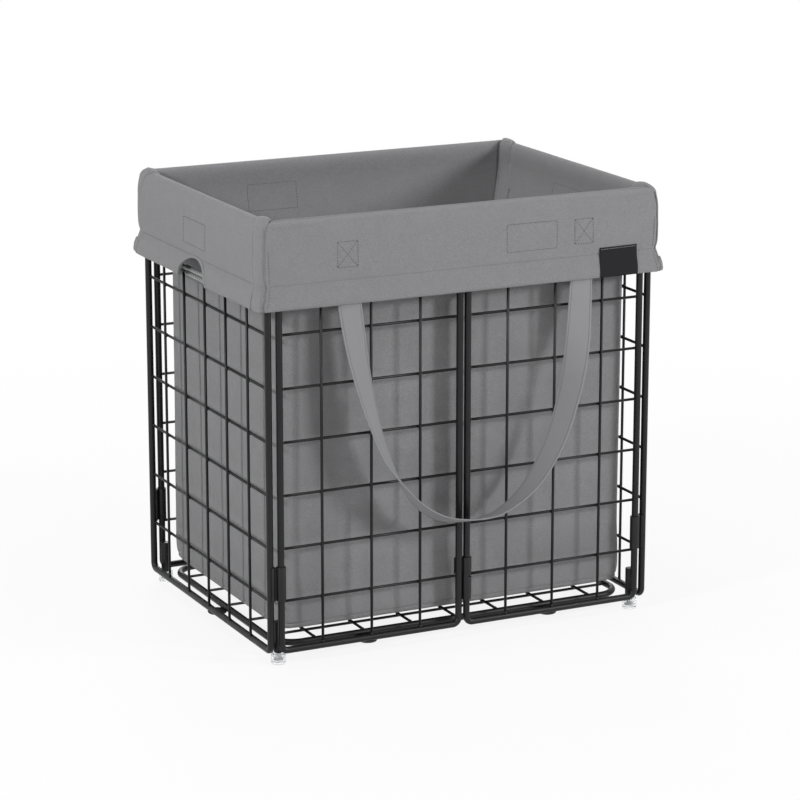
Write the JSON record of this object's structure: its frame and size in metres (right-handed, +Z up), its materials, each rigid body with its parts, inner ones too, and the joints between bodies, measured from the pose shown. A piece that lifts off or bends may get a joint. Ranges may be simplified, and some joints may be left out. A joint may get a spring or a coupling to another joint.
{
  "type": "folding laundry hamper",
  "caption": "Folding black wire-grid laundry hamper on clear feet, with hinged long sides, a tip-up base grid and a lift-out grey fabric liner with a turned-down cuff and webbing straps.",
  "frame": {"origin": "on the floor, under the middle of the cage in plan", "axes": "+Z up, front towards -Y, left side panel towards -X"},
  "size_m": [0.5354, 0.4496, 0.5346],
  "materials": {
    "wire": "black powder coat, satin to gloss",
    "clip": "black powder coat, satin",
    "grip": "soft ribbed sleeve",
    "foot": "clear, glossy",
    "plug": "plain",
    "rest": "matte",
    "fabric": "smooth grey cloth",
    "webbing": "grey woven webbing",
    "label": "black woven, bare"
  },
  "bodies": {
    "left_side": {"left_panel": "wire", "left_grip_lower": "grip", "left_grip_upper": "grip", "left_rest": "rest", "front_left_corner_clip_lower": "clip", "front_left_corner_clip_upper": "clip", "back_left_corner_clip_lower": "clip", "back_left_corner_clip_upper": "clip"},
    "front_left_half": {"front_left_panel": "wire", "front_left_leg_socket": "wire", "front_left_foot": "foot", "front_left_foot_plug": "plug", "front_left_rest": "rest"},
    "front_hinge": {"front_hinge_clip_lower": "clip", "front_hinge_clip_upper": "clip"},
    "front_right_half": {"front_right_panel": "wire", "front_right_leg_socket": "wire", "front_right_foot": "foot", "front_right_foot_plug": "plug", "front_right_rest": "rest"},
    "right_side": {"right_panel": "wire", "right_grip_lower": "grip", "right_grip_upper": "grip", "right_rest": "rest", "front_right_corner_clip_lower": "clip", "front_right_corner_clip_upper": "clip", "back_right_corner_clip_lower": "clip", "back_right_corner_clip_upper": "clip"},
    "back_left_half": {"back_left_panel": "wire", "back_left_leg_socket": "wire", "back_left_foot": "foot", "back_left_foot_plug": "plug", "back_left_rest": "rest"},
    "back_hinge": {"back_hinge_clip_lower": "clip", "back_hinge_clip_upper": "clip"},
    "back_right_half": {"back_right_panel": "wire", "back_right_leg_socket": "wire", "back_right_foot": "foot", "back_right_foot_plug": "plug", "back_right_rest": "rest"},
    "base": {"base_grid": "wire"},
    "liner": {"liner_bag": "fabric", "liner_cuff": "fabric", "left_cutout_binding": "fabric", "right_cutout_binding": "fabric", "label": "label", "front_left_corner_band": "fabric", "front_right_corner_band": "fabric", "back_left_corner_band": "fabric", "back_right_corner_band": "fabric", "front_left_strap_end": "webbing", "front_right_strap_end": "webbing", "back_left_strap_end": "webbing", "back_right_strap_end": "webbing"},
    "front_carry_loop": {"front_strap": "webbing"},
    "back_carry_loop": {"back_strap": "webbing"}
  },
  "joints": [
    {"name": "cage_fold", "type": "hinge", "parent": "front_hinge", "child": "front_left_half", "pos_m": [-0.0053, -0.1874, 0.2722], "axis": [0, 0, -1], "range_deg": [0, 80], "deforming": ["liner_bag", "liner_cuff", "left_cutout_binding", "right_cutout_binding", "label", "front_left_corner_band", "front_right_corner_band", "back_left_corner_band", "back_right_corner_band", "front_left_strap_end", "front_right_strap_end", "back_left_strap_end", "back_right_strap_end", "front_strap", "back_strap"]},
    {"name": "front_right_fold", "type": "hinge", "parent": "front_hinge", "child": "front_right_half", "pos_m": [0.0053, -0.1874, 0.2722], "axis": [0, 0, 1], "range_deg": [0, 80]},
    {"name": "front_left_to_side", "type": "hinge", "parent": "front_left_half", "child": "left_side", "pos_m": [-0.2386, -0.1874, 0.2722], "axis": [0, 0, 1], "range_deg": [0, 80]},
    {"name": "front_right_to_side", "type": "hinge", "parent": "front_right_half", "child": "right_side", "pos_m": [0.2386, -0.1874, 0.2722], "axis": [0, 0, -1], "range_deg": [0, 80]},
    {"name": "back_left_fold", "type": "hinge", "parent": "left_side", "child": "back_left_half", "pos_m": [-0.2386, 0.1874, 0.2722], "axis": [0, 0, 1], "range_deg": [0, 80]},
    {"name": "back_right_fold", "type": "hinge", "parent": "right_side", "child": "back_right_half", "pos_m": [0.2386, 0.1874, 0.2722], "axis": [0, 0, -1], "range_deg": [0, 80]},
    {"name": "back_left_to_hinge", "type": "hinge", "parent": "back_left_half", "child": "back_hinge", "pos_m": [-0.0053, 0.1874, 0.2722], "axis": [0, 0, -1], "range_deg": [0, 80]},
    {"name": "base_tip", "type": "hinge", "parent": "left_side", "child": "base", "pos_m": [-0.2325, 0, 0.018], "axis": [0, -1, 0], "range_deg": [0, 90]},
    {"name": "liner_lift", "type": "slide", "parent": "left_side", "child": "liner", "axis": [0, 0, 1], "range_m": [0, 0.52]},
    {"name": "front_strap_swing", "type": "hinge", "parent": "liner", "child": "front_carry_loop", "pos_m": [0, -0.1948, 0.4287], "axis": [-1, 0, 0], "range_deg": [0, 150], "deforming": ["front_strap"]},
    {"name": "back_strap_swing", "type": "hinge", "parent": "liner", "child": "back_carry_loop", "pos_m": [0, 0.1948, 0.4287], "axis": [1, 0, 0], "range_deg": [0, 150], "deforming": ["back_strap"]}
  ],
  "couplings": [
    {"joint": "front_right_fold", "follows": "cage_fold", "ratio": 1},
    {"joint": "front_left_to_side", "follows": "cage_fold", "ratio": 1},
    {"joint": "front_right_to_side", "follows": "cage_fold", "ratio": 1},
    {"joint": "back_left_fold", "follows": "cage_fold", "ratio": 1},
    {"joint": "back_right_fold", "follows": "cage_fold", "ratio": 1},
    {"joint": "back_left_to_hinge", "follows": "cage_fold", "ratio": 1},
    {"joint": "base_tip", "follows": "cage_fold", "ratio": 1.125}
  ]
}
